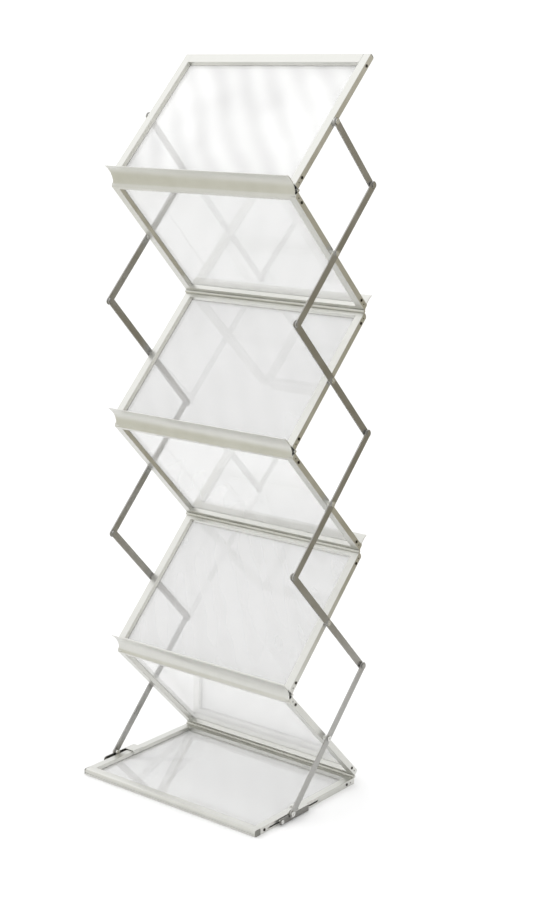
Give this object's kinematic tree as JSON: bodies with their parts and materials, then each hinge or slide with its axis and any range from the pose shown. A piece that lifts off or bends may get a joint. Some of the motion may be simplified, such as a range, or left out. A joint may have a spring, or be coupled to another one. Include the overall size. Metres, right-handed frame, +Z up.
{
  "type": "folding brochure rack",
  "caption": "Folding zigzag floor rack of hinged frames with clear panels and lips that hold brochures on both faces, stood up by side scissor bars.",
  "frame": {"origin": "centre of the footprint on the floor, under the open rack", "axes": "+Z up, -Y towards the front (the side with three pockets), +X to the right seen from the front"},
  "size_m": [0.4838, 0.3515, 1.4613],
  "materials": {
    "frame_aluminium": "matt silver anodised",
    "bar_steel": "satin steel strip",
    "bright_fixings": "bright zinc plated",
    "grey_cap": "moulded, slightly textured",
    "clear_acrylic": "clear polished acrylic sheet"
  },
  "bodies": {
    "base": {"base_side_rail_left": "frame_aluminium", "base_side_rail_right": "frame_aluminium", "base_rear_rail": "frame_aluminium", "base_front_rail": "frame_aluminium", "base_end_caps": "grey_cap", "base_sheet": "clear_acrylic", "base_fixings": "bright_fixings"},
    "panel_1": {"panel_1_side_rail_left": "frame_aluminium", "panel_1_side_rail_right": "frame_aluminium", "panel_1_lower_rail": "frame_aluminium", "panel_1_upper_rail": "frame_aluminium", "panel_1_sheet": "clear_acrylic", "panel_1_fixings": "bright_fixings"},
    "panel_2": {"panel_2_side_rail_left": "frame_aluminium", "panel_2_side_rail_right": "frame_aluminium", "panel_2_lower_rail": "frame_aluminium", "panel_2_upper_rail": "frame_aluminium", "panel_2_sheet": "clear_acrylic", "panel_2_fixings": "bright_fixings"},
    "panel_3": {"panel_3_side_rail_left": "frame_aluminium", "panel_3_side_rail_right": "frame_aluminium", "panel_3_lower_rail": "frame_aluminium", "panel_3_upper_rail": "frame_aluminium", "panel_3_sheet": "clear_acrylic", "panel_3_fixings": "bright_fixings"},
    "panel_4": {"panel_4_side_rail_left": "frame_aluminium", "panel_4_side_rail_right": "frame_aluminium", "panel_4_lower_rail": "frame_aluminium", "panel_4_upper_rail": "frame_aluminium", "panel_4_sheet": "clear_acrylic", "panel_4_fixings": "bright_fixings"},
    "panel_5": {"panel_5_side_rail_left": "frame_aluminium", "panel_5_side_rail_right": "frame_aluminium", "panel_5_lower_rail": "frame_aluminium", "panel_5_upper_rail": "frame_aluminium", "panel_5_sheet": "clear_acrylic", "panel_5_fixings": "bright_fixings"},
    "panel_6": {"panel_6_side_rail_left": "frame_aluminium", "panel_6_side_rail_right": "frame_aluminium", "panel_6_lower_rail": "frame_aluminium", "panel_6_upper_rail": "frame_aluminium", "panel_6_sheet": "clear_acrylic", "panel_6_fixings": "bright_fixings", "top_end_caps": "grey_cap"},
    "bars_1": {"bar_1_left": "bar_steel", "bar_1_right": "bar_steel"},
    "bars_2": {"bar_2_left": "bar_steel", "bar_2_right": "bar_steel"},
    "bars_3": {"bar_3_left": "bar_steel", "bar_3_right": "bar_steel"},
    "bars_4": {"bar_4_left": "bar_steel", "bar_4_right": "bar_steel"},
    "bars_5": {"bar_5_left": "bar_steel", "bar_5_right": "bar_steel"},
    "bars_6": {"bar_6_left": "bar_steel", "bar_6_right": "bar_steel"},
    "sliders": {"slider_left": "bar_steel", "slider_right": "bar_steel", "slider_bolts": "bright_fixings"}
  },
  "joints": [
    {"name": "panel_1_hinge", "type": "hinge", "parent": "base", "child": "panel_1", "pos_m": [0, 0.14706, 0.015], "axis": [1, 0, 0], "range_deg": [0, 44.9]},
    {"name": "panel_2_hinge", "type": "hinge", "parent": "panel_1", "child": "panel_2", "pos_m": [0, -0.06494, 0.2558], "axis": [1, 0, 0], "range_deg": [-89.9, 0]},
    {"name": "panel_3_hinge", "type": "hinge", "parent": "panel_2", "child": "panel_3", "pos_m": [0, 0.14706, 0.4966], "axis": [1, 0, 0], "range_deg": [0, 89.9]},
    {"name": "panel_4_hinge", "type": "hinge", "parent": "panel_3", "child": "panel_4", "pos_m": [0, -0.06494, 0.7374], "axis": [1, 0, 0], "range_deg": [-89.9, 0]},
    {"name": "panel_5_hinge", "type": "hinge", "parent": "panel_4", "child": "panel_5", "pos_m": [0, 0.14706, 0.9782], "axis": [1, 0, 0], "range_deg": [0, 89.9]},
    {"name": "panel_6_hinge", "type": "hinge", "parent": "panel_5", "child": "panel_6", "pos_m": [0, -0.06494, 1.219], "axis": [1, 0, 0], "range_deg": [-89.9, 0]},
    {"name": "bars_1_pivot", "type": "hinge", "parent": "panel_1", "child": "bars_1", "pos_m": [0, 0.04106, 0.1354], "axis": [1, 0, 0], "range_deg": [-87.83, 0]},
    {"name": "bars_2_pivot", "type": "hinge", "parent": "panel_2", "child": "bars_2", "pos_m": [0, 0.04106, 0.3762], "axis": [1, 0, 0], "range_deg": [0, 87.83]},
    {"name": "bars_3_pivot", "type": "hinge", "parent": "panel_3", "child": "bars_3", "pos_m": [0, 0.04106, 0.617], "axis": [1, 0, 0], "range_deg": [-87.83, 0]},
    {"name": "bars_4_pivot", "type": "hinge", "parent": "panel_4", "child": "bars_4", "pos_m": [0, 0.04106, 0.8578], "axis": [1, 0, 0], "range_deg": [0, 87.83]},
    {"name": "bars_5_pivot", "type": "hinge", "parent": "panel_5", "child": "bars_5", "pos_m": [0, 0.04106, 1.0986], "axis": [1, 0, 0], "range_deg": [-87.83, 0]},
    {"name": "bars_6_pivot", "type": "hinge", "parent": "panel_6", "child": "bars_6", "pos_m": [0, 0.04106, 1.3394], "axis": [1, 0, 0], "range_deg": [0, 87.83]},
    {"name": "slider_pivot", "type": "hinge", "parent": "bars_1", "child": "sliders", "pos_m": [0, -0.07344, 0.015], "axis": [1, 0, 0], "range_deg": [0, 42.93]}
  ],
  "couplings": [
    {"joint": "panel_2_hinge", "follows": "panel_1_hinge", "ratio": -2},
    {"joint": "panel_3_hinge", "follows": "panel_1_hinge", "ratio": 2},
    {"joint": "panel_4_hinge", "follows": "panel_1_hinge", "ratio": -2},
    {"joint": "panel_5_hinge", "follows": "panel_1_hinge", "ratio": 2},
    {"joint": "panel_6_hinge", "follows": "panel_1_hinge", "ratio": -2},
    {"joint": "bars_1_pivot", "follows": "panel_1_hinge", "ratio": -1.954},
    {"joint": "bars_2_pivot", "follows": "panel_1_hinge", "ratio": 1.954},
    {"joint": "bars_3_pivot", "follows": "panel_1_hinge", "ratio": -1.954},
    {"joint": "bars_4_pivot", "follows": "panel_1_hinge", "ratio": 1.954},
    {"joint": "bars_5_pivot", "follows": "panel_1_hinge", "ratio": -1.954},
    {"joint": "bars_6_pivot", "follows": "panel_1_hinge", "ratio": 1.954},
    {"joint": "slider_pivot", "follows": "panel_1_hinge", "ratio": 0.954}
  ]
}
